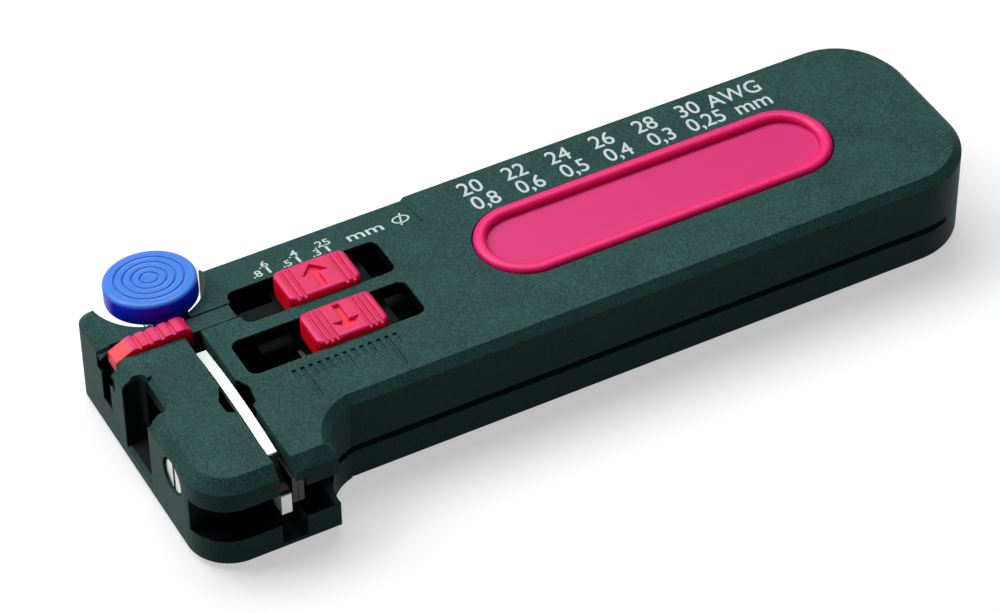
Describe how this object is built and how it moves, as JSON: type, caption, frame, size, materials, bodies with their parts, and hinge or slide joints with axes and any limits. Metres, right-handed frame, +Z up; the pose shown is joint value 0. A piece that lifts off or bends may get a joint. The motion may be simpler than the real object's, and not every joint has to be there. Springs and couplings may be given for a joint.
{
  "type": "wire stripper",
  "caption": "Flat handheld precision wire stripper: press button, blade lever pivoting in the nose, two slides for wire size and strip length, oval grip inlay.",
  "frame": {"origin": "on the underside, 50 mm behind the front face and on the handle's centre line, where the tool rests", "axes": "+X runs from the nose to the tail, +Y to the side with the push button, +Z up through the top face"},
  "size_m": [0.1004, 0.0366, 0.0145],
  "materials": {
    "housing": "fine-textured glass-filled plastic",
    "inlay": "smooth satin gloss",
    "slide": "smooth satin gloss",
    "button": "smooth satin gloss",
    "lever_steel": "ground and polished edge",
    "blade_steel": "hardened, ground",
    "screw_steel": "bright zinc",
    "spring_steel": "drawn wire",
    "brass": "turned",
    "guide_bush": "black acetal"
  },
  "bodies": {
    "housing": {"nose_block": "housing", "upper_housing": "housing", "lower_housing": "housing", "grip_inlay": "inlay", "housing_screws": "screw_steel", "nose_dowels": "screw_steel", "wire_guide": "guide_bush", "pivot_screw": "screw_steel", "pivot_insert": "brass", "pivot_washer": "screw_steel", "lower_blade": "blade_steel", "cutter_plates": "blade_steel", "spring_seat": "housing", "return_spring": "spring_steel", "slide_bed": "housing", "bed_screws": "screw_steel", "diameter_detent_spring": "spring_steel", "stop_detent_spring": "spring_steel"},
    "lever": {"blade_lever": "lever_steel", "upper_blade": "blade_steel", "blade_rivets": "screw_steel", "push_button": "button", "button_pin": "screw_steel"},
    "size_slide": {"diameter_carrier": "housing", "diameter_knob": "slide", "step_ramp": "slide"},
    "stop_slide": {"stop_carrier": "housing", "stop_knob": "slide", "stop_plate": "blade_steel"}
  },
  "joints": [
    {"name": "button_press", "type": "hinge", "parent": "housing", "child": "lever", "pos_m": [-0.0404, -0.0115, 0.0084], "axis": [-1, 0, 0], "range_deg": [0, 6.5], "stiffness_Nm_per_rad": 0.4, "springref_deg": -5.73, "deforming": ["return_spring"]},
    {"name": "diameter_setting", "type": "slide", "parent": "housing", "child": "size_slide", "axis": [1, 0, 0], "range_m": [-0.0036, 0.0036]},
    {"name": "length_stop_setting", "type": "slide", "parent": "housing", "child": "stop_slide", "axis": [1, 0, 0], "range_m": [-0.0077, 0.0041]}
  ]
}
